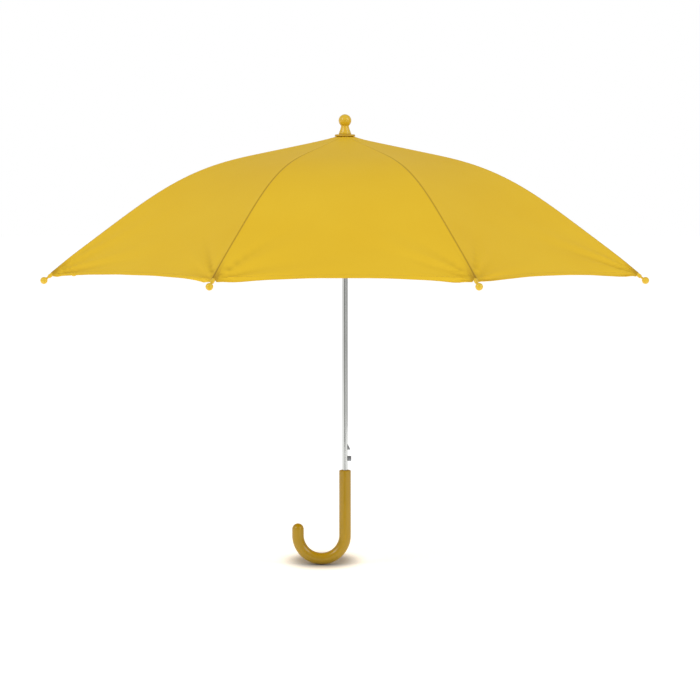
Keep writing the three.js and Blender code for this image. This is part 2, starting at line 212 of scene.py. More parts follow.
def mouldedPlastic(name, darkHex, lightHex, roughness, coat):
    # Injection-moulded ABS: even colour with faint flow marks, and a trace of orange peel in the gloss
    material, tree, shader = newMaterial(name, {
        "Roughness": roughness, "IOR": 1.5, "Specular IOR Level": 0.4,
        "Coat Weight": coat, "Coat Roughness": 0.06})
    place = addNode(tree, "ShaderNodeTexCoord", {})
    flow = addNode(tree, "ShaderNodeTexNoise", {"Scale": 16.0, "Detail": 1.0, "Distortion": 0.8}, {
        "Vector": (place, "Object")})
    colour = addNode(tree, "ShaderNodeMix", {
        "data_type": "RGBA", 6: linear(darkHex), 7: linear(lightHex)}, {0: (flow, "Fac")})
    peel = addNode(tree, "ShaderNodeTexNoise", {"Scale": 1 / (1.6 * mm), "Detail": 1.0}, {
        "Vector": (place, "Object")})
    bump = addNode(tree, "ShaderNodeBump", {"Strength": 0.03, "Distance": 0.05 * mm}, {
        "Height": (peel, "Fac")})
    connect(tree, shader, {"Base Color": (colour, 2), "Normal": (bump, "Normal")})
    return material


def metal(name, darkHex, lightHex, smooth, dull, stretch, grain, relief=0.05):
    # Steel: the grain is stretched along the shaft where the piece was drawn, and even where it was dipped
    material, tree, shader = newMaterial(name, {"Metallic": 1.0})
    place = addNode(tree, "ShaderNodeTexCoord", {})
    along = addNode(tree, "ShaderNodeMapping", {"Scale": (1, 1, stretch)}, {
        "Vector": (place, "Object")})
    marks = addNode(tree, "ShaderNodeTexNoise", {"Scale": 1 / grain, "Detail": 4.0}, {
        "Vector": (along, "Vector")})
    colour = addNode(tree, "ShaderNodeMix", {
        "data_type": "RGBA", 6: linear(darkHex), 7: linear(lightHex)}, {0: (marks, "Fac")})
    rough = addNode(tree, "ShaderNodeMapRange", {"To Min": smooth, "To Max": dull}, {
        "Value": (marks, "Fac")})
    bump = addNode(tree, "ShaderNodeBump", {"Strength": relief, "Distance": 0.05 * mm}, {
        "Height": (marks, "Fac")})
    connect(tree, shader, {
        "Base Color": (colour, 2), "Roughness": (rough, "Result"), "Normal": (bump, "Normal")})
    return material


def sewingThread():
    # Spun polyester thread: two plies that show as a fine slanting stripe
    material, tree, shader = newMaterial("spunThread", {"Roughness": 0.7, "Sheen Weight": 0.3})
    place = addNode(tree, "ShaderNodeTexCoord", {})
    plies = addNode(tree, "ShaderNodeTexWave", {
        "bands_direction": "DIAGONAL", "Scale": waveScale(0.5 * mm)}, {
        "Vector": (place, "Object")})
    colour = addNode(tree, "ShaderNodeMix", {
        "data_type": "RGBA", 6: linear("#B08A1E"), 7: linear("#E0B936")}, {0: (plies, "Fac")})
    connect(tree, shader, {"Base Color": (colour, 2)})
    return material


cloth = taffeta()
ballPlastic = mouldedPlastic("mouldedAbs", "#D9B01E", "#E2BC2C", 0.3, 0.2)
gripPlastic = mouldedPlastic("polishedAbs", "#9E7E05", "#AA8A0C", 0.28, 0.1)
clampPlastic = mouldedPlastic("satinAbs", "#C69E1A", "#D0A824", 0.45, 0.0)
hubPlastic = mouldedPlastic("blackNylon", "#141416", "#1E1E21", 0.42, 0.0)
chrome = metal("chromePlate", "#B4B5B2", "#CDCECB", 0.05, 0.1, 0.05, 1.5 * mm, 0.01)
zincSteel = metal("zincPlatedSteel", "#9DA0A3", "#C6C9CB", 0.26, 0.4, 1.0, 2.2 * mm)
springSteel = metal("springSteel", "#7D7F82", "#A9ABAE", 0.22, 0.34, 0.2, 1.2 * mm)
thread = sewingThread()
print("stage: materials made")


# Shapes
def newPiece(name, points, faces, material, sharp=38):
    mesh = bpy.data.meshes.new(name)
    mesh.from_pydata([tuple(p) for p in points], [], [tuple(f) for f in faces])
    mesh.shade_smooth()
    mesh.set_sharp_from_angle(angle=math.radians(sharp))
    mesh.materials.append(material)
    piece = bpy.data.objects.new(name, mesh)
    bpy.context.scene.collection.objects.link(piece)
    return piece


def finished(piece, cutter=None):
    # Turns the piece and its modifiers into one plain, smooth mesh
    graph = bpy.context.evaluated_depsgraph_get()
    mesh = bpy.data.meshes.new_from_object(piece.evaluated_get(graph))
    piece.modifiers.clear()
    piece.data = mesh
    mesh.shade_smooth()
    mesh.set_sharp_from_angle(angle=math.radians(38))
    if cutter:
        bpy.data.objects.remove(cutter)
    return piece


def loft(rings, closed=False):
    # Skins a row of rings, each ring a loop of points in the same order
    rings = np.asarray(rings)
    count, around = rings.shape[:2]
    points = rings.reshape(-1, 3)
    faces = []
    for i in range(count if closed else count - 1):
        a, b = i * around, (i + 1) % count * around
        for j in range(around):
            k = (j + 1) % around
            faces.append((a + j, a + k, b + k, b + j))
    if not closed:
        faces.append(tuple(range(around))[::-1])
        last = (count - 1) * around
        faces.append(tuple(range(last, last + around)))
    return points, faces


def arc(centreX, centreY, radius, fromDegrees, toDegrees, steps):
    angles = np.radians(np.linspace(fromDegrees, toDegrees, steps))
    return [(centreX + radius * math.cos(a), centreY + radius * math.sin(a)) for a in angles]


def unitRing(side, other, around):
    angles = np.linspace(0, 2 * math.pi, around, endpoint=False)
    return np.outer(np.cos(angles), side) + np.outer(np.sin(angles), other)


def revolve(profile, around, origin, axis):
    # The profile is (radius, height) points; its two ends are closed with flat caps
    axis = np.asarray(axis) / np.linalg.norm(axis)
    side = np.cross(axis, [0.3, 1.0, 0.2])
    side /= np.linalg.norm(side)
    ring = unitRing(side, np.cross(axis, side), around)
    return loft([np.asarray(origin) + axis * h + ring * max(r, 0.01 * mm) for r, h in profile])


def sweep(path, across, section):
    # The section's (side, up) points follow the path; across is the side direction all along it
    path, across = np.asarray(path), np.asarray(across)
    along = np.gradient(path, axis=0)
    along /= np.linalg.norm(along, axis=1)[:, None]
    up = np.cross(along, across)
    section = np.asarray(section)
    rings = (path[:, None] + section[None, :, 0, None] * across
             + section[None, :, 1, None] * up[:, None])
    return loft(rings)


def joined(*shapes):
    points, faces, start = [], [], 0
    for shapePoints, shapeFaces in shapes:
        points.append(np.asarray(shapePoints))
        faces += [tuple(i + start for i in face) for face in shapeFaces]
        start += len(shapePoints)
    return np.concatenate(points), faces


def onRib(rib, radius, height, side=0.0):
    return outward(rib) * radius + sideways(rib) * side + bodyAxis * height


def channel(width, height, wall, rounding, opensDown=False):
    # A folded steel channel with its back rounded, open at the top or the bottom
    w, h = width / 2, height / 2
    back = [(-w + rounding * (1 - math.cos(a)), -h + rounding * (1 - math.sin(a)))
            for a in np.linspace(0, math.pi / 2, 4)]
    outside = [(-w, h)] + back + [(-x, y) for x, y in back[::-1]] + [(w, h)]
    inside = [(w - wall, h), (w - wall, -h + wall), (-w + wall, -h + wall), (-w + wall, h)]
    if opensDown:
        return [(x, -y) for x, y in outside + inside]
    return (outside + inside)[::-1]


def pinShape(rib, radius, height, low, high):
    # A rivet: a round shank with a low domed head at each end
    size = frameSteel["rivet"]
    head = size * 0.45
    profile = [(0, low - head)]
    profile += [(size * 1.5 * math.sin(a), low - head * math.cos(a))
                for a in np.linspace(0.3, math.pi / 2, 5)]
    profile += [(size, low), (size, high)]
    profile += [(size * 1.5 * math.cos(a), high + head * math.sin(a))
                for a in np.linspace(0, math.pi / 2 - 0.3, 5)]
    profile += [(0, high + head)]
    return revolve(profile, 20, onRib(rib, radius, height), sideways(rib))


def eyeShape(rib, radius, height, side, width):
    # A flattened, punched rib end: a ring round the hinge wire
    half, outer, inner = width / 2, frameSteel["eyeOuter"], frameSteel["eyeInner"]
    profile = [(inner, -half), (outer - 0.2 * mm, -half), (outer, -half + 0.2 * mm),
               (outer, half - 0.2 * mm), (outer - 0.2 * mm, half), (inner, half)]
    ring = unitRing(outward(rib), bodyAxis, 28)
    middle = onRib(rib, radius, height, side)
    points, faces = loft([middle + sideways(rib) * y + ring * r for r, y in profile], closed=True)
    return points, [face[::-1] for face in faces]


def finishPiece(piece, body, slotName, *nodes):
    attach(piece, body)
    if nodes:
        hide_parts(*nodes)


# Camera, light and floor
view = {
    "distance": 3346 * mm,
    "aboveTips": 104 * mm,
    "lookDown": 3.61,      # degrees
    "aside": 7.3 * mm,
    "lens": 118.1,
    "floorGap": 0.6 * mm,
}
tipZ = float(ribHeight(dome["tipRadius"]))
cameraData = bpy.data.cameras.new("camera")
cameraData.lens = view["lens"]
cameraData.sensor_width = 36
cameraData.clip_end = 60
camera = bpy.data.objects.new("camera", cameraData)
camera.location = (view["aside"], -view["distance"], tipZ + view["aboveTips"])
camera.rotation_euler = (math.radians(90 - view["lookDown"]), 0, 0)
bpy.context.scene.collection.objects.link(camera)
bpy.context.scene.camera = camera
bpy.context.scene.view_settings.view_transform = "Standard"


def makeWorld():
    world = bpy.data.worlds.new("studioWorld")
    world.use_nodes = True
    tree = world.node_tree
    tree.nodes.clear()
    paper = addNode(tree, "ShaderNodeBackground", {"Color": linear("#FFFFFF"), "Strength": 1.0})
    room = addNode(tree, "ShaderNodeBackground", {
        "Color": linear("#FFFFFF"), "Strength": studio["roomLight"]})
    rays = addNode(tree, "ShaderNodeLightPath", {})
    seen = addNode(tree, "ShaderNodeMixShader", {}, {
        0: (rays, "Is Camera Ray"), 1: (room, "Background"), 2: (paper, "Background")})
    addNode(tree, "ShaderNodeOutputWorld", {}, {"Surface": (seen, "Shader")})
    bpy.context.scene.world = world


def makePanel(name, middle, size, rotation, colour, emission=0.0):
    material = newMaterial(name + "Paper", {
        "Base Color": linear(colour), "Roughness": 0.9, "Specular IOR Level": 0.1,
        "Emission Color": linear(colour), "Emission Strength": emission})[0]
    half = [s / 2 for s in size]
    corners = [(-half[0], -half[1], 0), (half[0], -half[1], 0),
               (half[0], half[1], 0), (-half[0], half[1], 0)]
    panel = newPiece(name, corners, [(0, 1, 2, 3)], material)
    panel.location = middle
    panel.rotation_euler = rotation
    return panel


def paintedShadowUnder(floor):
    # The paper glows as white as the wall, but for a painted soft shadow under the handle, where it turns
    # grey and glows less
    tree = floor.data.materials[0].node_tree
    shader = tree.nodes["Principled BSDF"]
    place = addNode(tree, "ShaderNodeTexCoord", {})
    middle = Vector((studio["shadePlace"], floor.location.y - studio["shadeBehind"], 0))
    centred = addNode(tree, "ShaderNodeVectorMath", {"operation": "ADD", 1: middle}, {
        0: (place, "Object")})
    scaled = addNode(tree, "ShaderNodeVectorMath", {
        "operation": "DIVIDE", 1: studio["shadeSize"]}, {0: (centred, "Vector")})
    distance = addNode(tree, "ShaderNodeVectorMath", {"operation": "LENGTH"}, {
        0: (scaled, "Vector")})
    edge = addNode(tree, "ShaderNodeMapRange", {
        "interpolation_type": "SMOOTHSTEP", "From Min": studio["shadeCore"]}, {
        "Value": (distance, "Value")})
    # Painted shadow colour inside the ellipse, the paper's own white outside it
    colour = addNode(tree, "ShaderNodeMix", {
        "data_type": "RGBA", 6: linear("#A6A6AC"), 7: linear("#EEEEEE")}, {
        0: (edge, "Result")})
    glow = addNode(tree, "ShaderNodeMath", {"operation": "MULTIPLY", 1: studio["floorGlow"]}, {
        0: (edge, "Result")})
    connect(tree, shader, {"Base Color": (colour, 2), "Emission Strength": (glow, "Value")})


def makeLight(name, location, power):
    data = bpy.data.lights.new(name, "AREA")
    data.size, data.energy = studio["boxSize"], power
    light = bpy.data.objects.new(name, data)
    light.location = location
    direction = Vector(studio["boxTarget"]) - Vector(location)
    light.rotation_euler = direction.to_track_quat("-Z", "Y").to_euler()
    bpy.context.scene.collection.objects.link(light)


studio = {
    "roomLight": 0.555,
    "floorGlow": 0.67,
    # The painted shadow on the floor: its middle, size and core
    "shadePlace": 33 * mm,     # the middle of the soft shade, to the hook's side
    "shadeBehind": 45 * mm,
    "shadeSize": (72 * mm, 110 * mm, 1),
    "shadeCore": 0.35,
    "leftPower": 34,       # watts
    "rightPower": 32.5,
    "leftPlace": (-2.4, -1.7, 2.3),    # metres, as the other places and sizes of the studio
    "rightPlace": (2.6, -1.7, 2.1),
    "boxTarget": (0, 0, 0.4),
    "boxSize": 1.5,
    "floorPlace": (0, 4),
    "floorSize": (60, 60),
    "darkCardPlace": (-0.12, -1.5),
    "darkCardSize": (1.05, 1.1),
    "sideCardPlace": (1.9, 0.25),
    "sideCardSize": (1.7, 1.1),
    "lowCardPlace": (-0.06, -0.9),
    "lowCardSize": (0.45, 1.1),
    "lowCardGap": 0.004,
    "cardGap": 0.01,
    "cardGrey": "#161616",
}
makeWorld()
floorZ = cadBox[0][2] - view["floorGap"]
floor = makePanel("floor", (*studio["floorPlace"], floorZ), studio["floorSize"], (0, 0, 0),
                  "#EEEEEE", 1.0)
paintedShadowUnder(floor)
cardZ = floorZ + studio["darkCardSize"][1] / 2 + studio["cardGap"]
upright = math.radians(90)
cards = [("dark", cardZ, (upright, 0, 0)), ("low", floorZ + studio["lowCardGap"], (0, 0, 0)),
         ("side", cardZ, (upright, 0, upright))]
for name, height, rotation in cards:
    card = makePanel(f"{name}Card", (*studio[f"{name}CardPlace"], height),
                     studio[f"{name}CardSize"], rotation, studio["cardGrey"])
    card.visible_camera = False      # only the gloss of the plating and the plastic shows it
    card.visible_shadow = False
    card.visible_diffuse = False
makeLight("leftBox", studio["leftPlace"], studio["leftPower"])
makeLight("rightBox", studio["rightPlace"], studio["rightPower"])
print("stage: camera, light and floor")


# Canopy
sheetPlan = {
    "thickness": 0.3 * mm,
    "innerRows": 84,
    "outerRows": 118,
    "columns": 22,          # to each side, past the seam's own
    "startRadius": 6.5 * mm,
    "seamOffsets": [0, 0.35, 0.8, 1.4, 2.1, 2.7, 3.2, 3.8, 5.0],    # mm to each side of the seam
    "seamDepth": 0.5 * mm,
    "seamWidth": 0.6 * mm,
    "seamFade": 7 * mm,        # how far from the seam the folds and puckers die away
    # How dark the painted shade along the seam is
    "seamShade": 0.85,
    "ridge": 0.22 * mm,        # the seam allowance, felt through the fabric
    "ridgePlace": 2.3 * mm,
    "ridgeWidth": 1.3 * mm,
    "pucker": 0.2 * mm,
    "puckerLength": 9 * mm,
    "puckerReach": 4.5 * mm,
    "flutter": 0.35 * mm,
    "cornerFold": 4.0 * mm,
    "cornerReach": 62 * mm,
    "foldStart": 20 * mm,
    "foldRates": (15, 25),     # of the coarse and the fine folds, round the corner
    # How dark the painted shade in the corner creases is, and how far the painted shade beside each tip
    # corner reaches
    "creaseShade": 0.55,
    "cornerShadeReach": 14 * mm,
    "hemDrop": 8.2 * mm,       # how far the hem is drawn down between the tips
    "tipHug": 1.5 * mm,        # and below the tip's middle, beside its socket
    "hugReach": 5 * mm,
    "dropReach": 20 * mm,
    "wrapRadius": 3.1 * mm,    # round the tip's socket
    "wrapSlope": 2.6,
    "crownFold": 0.35 * mm,
    "crownFoldReach": 42 * mm,
    "hemWidth": 6 * mm,
    "hemThickness": 0.5 * mm,
    "hemGap": 0.02 * mm,
    "hemRows": 7,
    "stitchInset": 4.6 * mm,
    "foldedShare": 0.12,       # of a gore's width, when the canopy is closed
}
columnCount = len(sheetPlan["seamOffsets"]) - 1 + sheetPlan["columns"]
columnLine = np.linspace(-1, 1, 2 * columnCount + 1)[None, :]
halfChord = 0.5 * math.sin(turn)
tipDepth = float(fabricHeight(dome["hemRadius"]) - ribHeight(dome["hemRadius"]))
tipLean = math.hypot(1, dome["lowerSlope"])
chordLoss = 1 - math.cos(turn)


def lateral(radius, column):
    # The distance from the seam, close together near it and even past it; column runs from -1 to 1
    offsets = np.array(sheetPlan["seamOffsets"]) * mm
    near, far = len(offsets) - 1, sheetPlan["columns"]
    step = np.abs(column) * (near + far)
    half = radius * halfChord
    squeeze = np.minimum(1, 0.6 * half / offsets[-1])
    nearSide = np.interp(step, np.arange(near + 1), offsets) * squeeze
    edge = offsets[-1] * squeeze
    farSide = edge + (half - edge) * np.clip((step - near) / far, 0, 1)
    return np.where(step <= near, nearSide, farSide) * np.sign(column)


def shareOf(radius, column):
    return np.abs(lateral(radius, column)) / (radius * math.sin(turn))


def cutRadius(column):
    radius = np.full_like(column, linkRadius)
    for _ in range(5):
        radius = linkRadius / (1 - shareOf(radius, column) * chordLoss)
    return radius


def hemLine(column, inset=0.0):
    radius = np.full_like(column, dome["hemRadius"])
    for _ in range(5):
        share = shareOf(radius, column)
        radius = dome["hemRadius"] * (1 - dome["hemScallop"] * 4 * share * (1 - share))
    return radius - inset


def cornerPoint(rib):
    radius = dome["hemRadius"]
    return onRib(rib, radius, float(fabricHeight(radius)))


def foldsFrom(points, rib, otherRib, seed):
    # Tension folds that fan out from a gore's corner and die away up the gore
    corner = cornerPoint(rib)
    apex = np.array([0, 0, crownZ + dome["rise"]])
    seam = (apex - corner) / np.linalg.norm(apex - corner)
    chord = cornerPoint(otherRib) - corner
    chord -= seam * np.dot(chord, seam)
    chord /= np.linalg.norm(chord)
    reach = points - corner
    distance = np.linalg.norm(reach, axis=-1)
    angle = np.arctan2(reach @ chord, reach @ seam)
    angle = np.clip(angle, 0, math.pi / 2)
    size = sheetPlan["cornerFold"] * np.exp(-distance / sheetPlan["cornerReach"])
    size = size * np.clip(distance / sheetPlan["foldStart"], 0, 1) ** 1.5
    few, many = sheetPlan["foldRates"]
    fan = np.sin(angle * few + seed) * 0.7 + np.sin(angle * many + 2.3 * seed) * 0.3
    return size * fan * np.sqrt(np.clip(np.sin(angle * 2), 0, 1))


def bell(value, middle, width):
    return np.exp(-((value - middle) / width) ** 2)


def fabricPoints(rib, radius, column):
    # Points of the fabric's middle surface over one rib, with its folds, and how shaded each is
    y = lateral(radius, column)
    share = np.abs(y) / (radius * math.sin(turn))
    fullness = 4 * share * (1 - share)
    x = radius * (1 - share * chordLoss)
    side = np.abs(y)
    toHem = np.maximum(hemLine(column) - radius, 0)
    nearHem = np.exp(-(toHem / sheetPlan["dropReach"]) ** 1.5)
    over = np.sqrt(np.maximum(sheetPlan["wrapRadius"] ** 2 - side ** 2, 0))
    past = np.maximum(side - sheetPlan["wrapRadius"], 0)
    hug = np.minimum(past * sheetPlan["wrapSlope"], sheetPlan["tipHug"])
    slack = sheetPlan["hemDrop"] - tipDepth - sheetPlan["tipHug"]
    drop = tipDepth - over * tipLean + hug + slack * (1 - np.exp(-past / sheetPlan["hugReach"]))
    pull = dome["gorePull"] * fullness * (radius / dome["hemRadius"]) ** 1.5
    drop = np.maximum(drop, pull)
    z = fabricHeight(radius) - pull * (1 - nearHem) - drop * nearHem
    plain = (outward(rib) * x[..., None] + sideways(rib) * y[..., None]
             + bodyAxis * z[..., None])
    before, after = (rib - 2) % ribCount + 1, rib % ribCount + 1
    seeds = [1.7 * ((r * 5) % ribCount) for r in (before, rib, after)]
    onLeft = foldsFrom(plain, rib, before, seeds[1]) + foldsFrom(plain, before, rib, seeds[0] + 1)
    onRight = foldsFrom(plain, rib, after, seeds[1] + 1) + foldsFrom(plain, after, rib, seeds[2])
    folds = np.where(y < 0, onLeft, onRight)
    seamFade = np.clip(side / sheetPlan["seamFade"], 0, 1)
    azimuth = np.arctan2(plain[..., 1], plain[..., 0])
    crownFolds = (sheetPlan["crownFold"] * np.exp(-radius / sheetPlan["crownFoldReach"])
                  * np.sin(azimuth * 3 * ribCount + 0.6))
    puckers = (sheetPlan["pucker"] * np.exp(-side / sheetPlan["puckerReach"]) * seamFade
               * np.sin(2 * math.pi * radius / sheetPlan["puckerLength"] + rib))
    groove = sheetPlan["seamDepth"] * bell(side, 0, sheetPlan["seamWidth"])
    ridge = sheetPlan["ridge"] * bell(side, sheetPlan["ridgePlace"], sheetPlan["ridgeWidth"])
    toCorner = np.linalg.norm(plain - cornerPoint(rib), axis=-1)
    flutter = sheetPlan["flutter"] * nearHem * np.sin(share * 34 + rib * 1.3) * fullness
    lift = folds * seamFade + crownFolds + puckers - groove + ridge
    lift = lift + np.where(share > 0.499, 0, flutter) * (1 - 2 * share)
    deepening = np.clip((radius - 40 * mm) / (160 * mm), 0.3, 1)     # paler up at the crown
    # Painted shade: darker along the seam line and beside each tip corner, where the fold throws shade
    seamShade = sheetPlan["seamShade"] * deepening * bell(side, 0, 0.9 * mm)
    cornerShade = (np.exp(-toCorner / sheetPlan["cornerShadeReach"])
                   * bell(side, 2.5 * mm, 2.4 * mm))
    # Painted shade in the troughs of the corner folds
    crease = np.clip(-folds / sheetPlan["cornerFold"] - 0.1, 0, 1) * sheetPlan["creaseShade"]
    shade = np.clip(seamShade + cornerShade + crease, 0, 1)
    return plain + surfaceNormal(rib, radius, column) * lift[..., None], shade


def surfaceNormal(rib, radius, column):
    # The dome's own normal, turned towards the gore's middle, so that two sections meet in one line
    step = 1 * mm
    slope = (fabricHeight(radius + step) - fabricHeight(radius - step)) / (2 * step)
    gore = np.sign(column) * turn / 2 * np.clip(np.abs(column) * 8, 0, 1)
    direction = ribAngle(rib) + gore
    normal = np.stack([-slope * np.cos(direction), -slope * np.sin(direction),
                       np.ones_like(slope)], axis=-1)
    return normal / np.linalg.norm(normal, axis=-1)[..., None]


def closedSheet(name, middle, normals, thickness, shade, size):
    # Two faces a thickness apart, joined round the edge
    rows, columns = middle.shape[:2]
    top = middle + normals * thickness / 2
    bottom = middle - normals * thickness / 2
    points = np.concatenate([top.reshape(-1, 3), bottom.reshape(-1, 3)])
    layer = rows * columns
    i, j = np.meshgrid(np.arange(rows - 1), np.arange(columns - 1), indexing="ij")
    a = (i * columns + j).ravel()
    upper = np.stack([a, a + columns, a + columns + 1, a + 1], axis=1)
    lower = np.stack([a, a + 1, a + columns + 1, a + columns], axis=1) + layer
    grid = np.arange(layer).reshape(rows, columns)
    loop = np.concatenate([grid[0], grid[1:, -1], grid[-1, -2::-1], grid[-2:0:-1, 0]])
    ahead = np.roll(loop, -1)
    rim = np.stack([loop, ahead, ahead + layer, loop + layer], axis=1)
    faces = upper.tolist() + lower.tolist() + rim.tolist()
    piece = newPiece(name, points, faces, cloth, sharp=60)
    mesh = piece.data
    attribute = mesh.attributes.new("seamShade", "FLOAT", "POINT")
    attribute.data.foreach_set("value", np.concatenate([shade.ravel()] * 2))
    flat = np.concatenate([size.reshape(-1, 2)] * 2)
    loops = np.empty(len(mesh.loops), int)
    mesh.loops.foreach_get("vertex_index", loops)
    uv = mesh.uv_layers.new(name="cloth")
    uv.data.foreach_set("uv", flat[loops].ravel())
    return piece


def fabricGrid(rib, low, high, rows):
    # Rows of fabric from one radius to another, which both run with the column
    step = np.linspace(0, 1, rows)[:, None]
    radius = low + (high - low) * step
    columns = np.broadcast_to(columnLine, radius.shape)
    middle, shade = fabricPoints(rib, radius, columns)
    size = np.stack([lateral(radius, columns), radius], axis=-1)
    return middle, surfaceNormal(rib, radius, columns), shade, size, step


def edgesOf(part, column):
    if part == "inner":
        return np.full_like(column, sheetPlan["startRadius"]), cutRadius(column)
    return cutRadius(column), hemLine(column)


def canopySheet(rib, part):
    rows = sheetPlan[f"{part}Rows"]
    middle, normals, shade, size, _ = fabricGrid(rib, *edgesOf(part, columnLine), rows)
    name = f"canopy{part.capitalize()}_{rib}"
    return closedSheet(name, middle, normals, sheetPlan["thickness"], shade, size)


def canopyHem(rib):
    # The hem, turned under and stitched: a second layer along the edge
    edge = hemLine(columnLine)
    middle, normals, shade, size, step = fabricGrid(
        rib, edge - sheetPlan["hemWidth"], edge, sheetPlan["hemRows"])
    under = (sheetPlan["thickness"] + sheetPlan["hemThickness"]) / 2 + sheetPlan["hemGap"]
    fold = sheetPlan["hemThickness"] * (0.55 + 0.45 * np.sin(step * math.pi)) + 0 * shade
    return closedSheet(f"canopyHem_{rib}", middle - normals * under, normals, fold[..., None],
                       shade, size)


def crumple(piece):
    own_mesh(piece)


sheets, hems = {}, {}
for rib in range(1, ribCount + 1):
    for part, body in (("inner", f"rib_{rib}"), ("outer", f"rib_end_{rib}")):
        sheet = canopySheet(rib, part)
        finishPiece(sheet, body, "canopy_fabric", f"canopy_{rib}")
        sheets[sheet.name] = (sheet, rib, part)
    hem = canopyHem(rib)
    finishPiece(hem, f"rib_end_{rib}", "canopy_fabric")
    hems[rib] = hem
print("stage: canopy sewn")


# Ribs, links and rivets
frameSteel = {
    "ribWidth": 2.7 * mm,
    "ribHeight": 2.4 * mm,
    "ribStart": 1.2 * mm,     # past the hinge
    "ribEnd": 9 * mm,         # short of the tip ball's middle
    "linkWidth": 2.0 * mm,
    "linkHeight": 2.6 * mm,
    "strutWidth": 1.5 * mm,
    "wall": 0.4 * mm,
    "rounding": 0.6 * mm,
    "eyeWidth": 2.2 * mm,
    "eyeOuter": 1.9 * mm,
    "eyeInner": 1.0 * mm,
    "rivet": 0.8 * mm,
    "bendHalf": 16 * mm,      # the length each side of the joint that the rib bends over
    "bracketGap": 1.5 * mm,
    "bracketWall": 0.45 * mm,
    "bracketHalf": 4.2 * mm,
    "strutReach": 45 * mm,
    "strutSide": 2.6 * mm,
}


def ribChannel(rib):
    radii = np.linspace(hingeRadius + frameSteel["ribStart"],
                        dome["tipRadius"] - frameSteel["ribEnd"], 120)
    path = [onRib(rib, r, float(ribHeight(r))) for r in radii]
    section = channel(frameSteel["ribWidth"], frameSteel["ribHeight"], frameSteel["wall"],
                      frameSteel["rounding"], opensDown=True)
    eye = eyeShape(rib, hingeRadius, crownZ, 0, frameSteel["eyeWidth"])
    shape = joined(sweep(path, sideways(rib), section), eye)
    piece = newPiece(f"ribChannel_{rib}", *shape, zincSteel)
    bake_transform(piece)
    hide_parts(f"rib_{rib}", f"rib_end_{rib}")


def ribBracket(rib):
    # A stamped clip round the rib, whose two ears hold the stretcher's rivet
    gap, wall = frameSteel["bracketGap"], frameSteel["bracketWall"]
    top = float(ribHeight(linkRadius)) + frameSteel["ribHeight"] / 2 + 0.1 * mm
    rise, half = top - linkPin.z, frameSteel["bracketHalf"]
    outline = arc(0, 0, half / 2, 180, 360, 11)
    outline += [(half, rise - 3 * mm), (half, rise), (-half, rise), (-half, rise - 3 * mm)]
    ears = [loft([[onRib(rib, linkRadius + x, linkPin.z + z, y) for x, z in outline]
                  for y in (low, low + wall)]) for low in (-gap - wall, gap)]
    rivet = pinShape(rib, linkRadius, linkPin.z, -gap - wall, gap + wall)
    piece = newPiece(f"ribBracket_{rib}", *joined(*ears, rivet), zincSteel)
    finishPiece(piece, f"rib_{rib}", "rib_steel")


def linkPiece(name, rib, start, end, side, width, body, node, rivetAt=None):
    # A stretcher or strut: a channel between two punched eyes
    start, end = np.array(start), np.array(end)
    along = (end - start) / np.linalg.norm(end - start)
    trim = frameSteel["eyeOuter"] * 0.8
    stops = np.linspace(0, 1, 24)[:, None]
    line = start + along * trim + (end - start - 2 * along * trim) * stops
    path = [onRib(rib, r, z, side) for r, z in line]
    section = channel(width, frameSteel["linkHeight"], frameSteel["wall"] * 0.8,
                      frameSteel["rounding"] * 0.7)
    shapes = [sweep(path, sideways(rib), section)]
    shapes += [eyeShape(rib, r, z, side, width * 0.8) for r, z in (start, end)]
    if rivetAt is not None:
        far = frameSteel["strutSide"] + frameSteel["strutWidth"] / 2 + 0.1 * mm
        shapes.append(pinShape(rib, *rivetAt, -width / 2 - 0.1 * mm, far))
    piece = newPiece(name, *joined(*shapes), zincSteel)
    finishPiece(piece, body, "rib_steel", node)


linkStart = (sliderHinge.xy.length, sliderHinge.z)
linkEnd = (linkRadius, linkPin.z)
linkLean = math.atan2(linkEnd[1] - linkStart[1], linkEnd[0] - linkStart[0])
elbow = (linkStart[0] + frameSteel["strutReach"] * math.cos(linkLean),
         linkStart[1] + frameSteel["strutReach"] * math.sin(linkLean))
strutStart = (runnerHinge.xy.length, runnerHinge.z)
for rib in range(1, ribCount + 1):
    ribChannel(rib)
    ribBracket(rib)
    linkPiece(f"stretcherChannel_{rib}", rib, linkStart, linkEnd, 0, frameSteel["linkWidth"],
              f"stretcher_{rib}", f"stretcher_{rib}", rivetAt=elbow)
    linkPiece(f"strutChannel_{rib}", rib, strutStart, elbow, frameSteel["strutSide"],
              frameSteel["strutWidth"], f"strut_{rib}", f"strut_{rib}")
print("stage: ribs, stretchers and struts")


# Moulded tips
tipPlan = {
    "ball": 5 * mm,
    "neck": 1.5 * mm,
    "neckLength": 4 * mm,
    "socket": 2.7 * mm,
    "socketLength": 13 * mm,
    "bore": 1.9 * mm,
    "edge": 0.3 * mm,
}


def ribTip(rib):
    ball, neck, socket = tipPlan["ball"], tipPlan["neck"], tipPlan["socket"]
    neckTop = -ball - tipPlan["neckLength"]
    mouth, bore, edge = neckTop - tipPlan["socketLength"], tipPlan["bore"], tipPlan["edge"]
    profile = [(bore, neckTop - 3 * mm), (bore, mouth), (socket - edge, mouth),
               (socket, mouth + edge), (socket, neckTop - 1 * mm)]
    profile += [(neck + (socket - neck) * math.cos(a), neckTop - 1 * mm + 2 * mm * math.sin(a))
                for a in np.linspace(0.2, math.pi / 2, 6)]
    start = math.degrees(math.acos(neck / ball))
    profile += arc(0, 0, ball, -start, 88, 26)
    profile += [(0, ball)]
    slope = float(ribHeight(dome["tipRadius"]) - ribHeight(dome["tipRadius"] - 1 * mm)) / mm
    axis = outward(rib) + bodyAxis * slope
    middle = onRib(rib, dome["tipRadius"], float(ribHeight(dome["tipRadius"])))
    piece = newPiece(f"tipMoulding_{rib}", *revolve(profile, 36, middle, axis), ballPlastic)
    finishPiece(piece, f"rib_end_{rib}", "moulded_plastic", f"tip_{rib}")


for rib in range(1, ribCount + 1):
    ribTip(rib)
print("stage: tips")


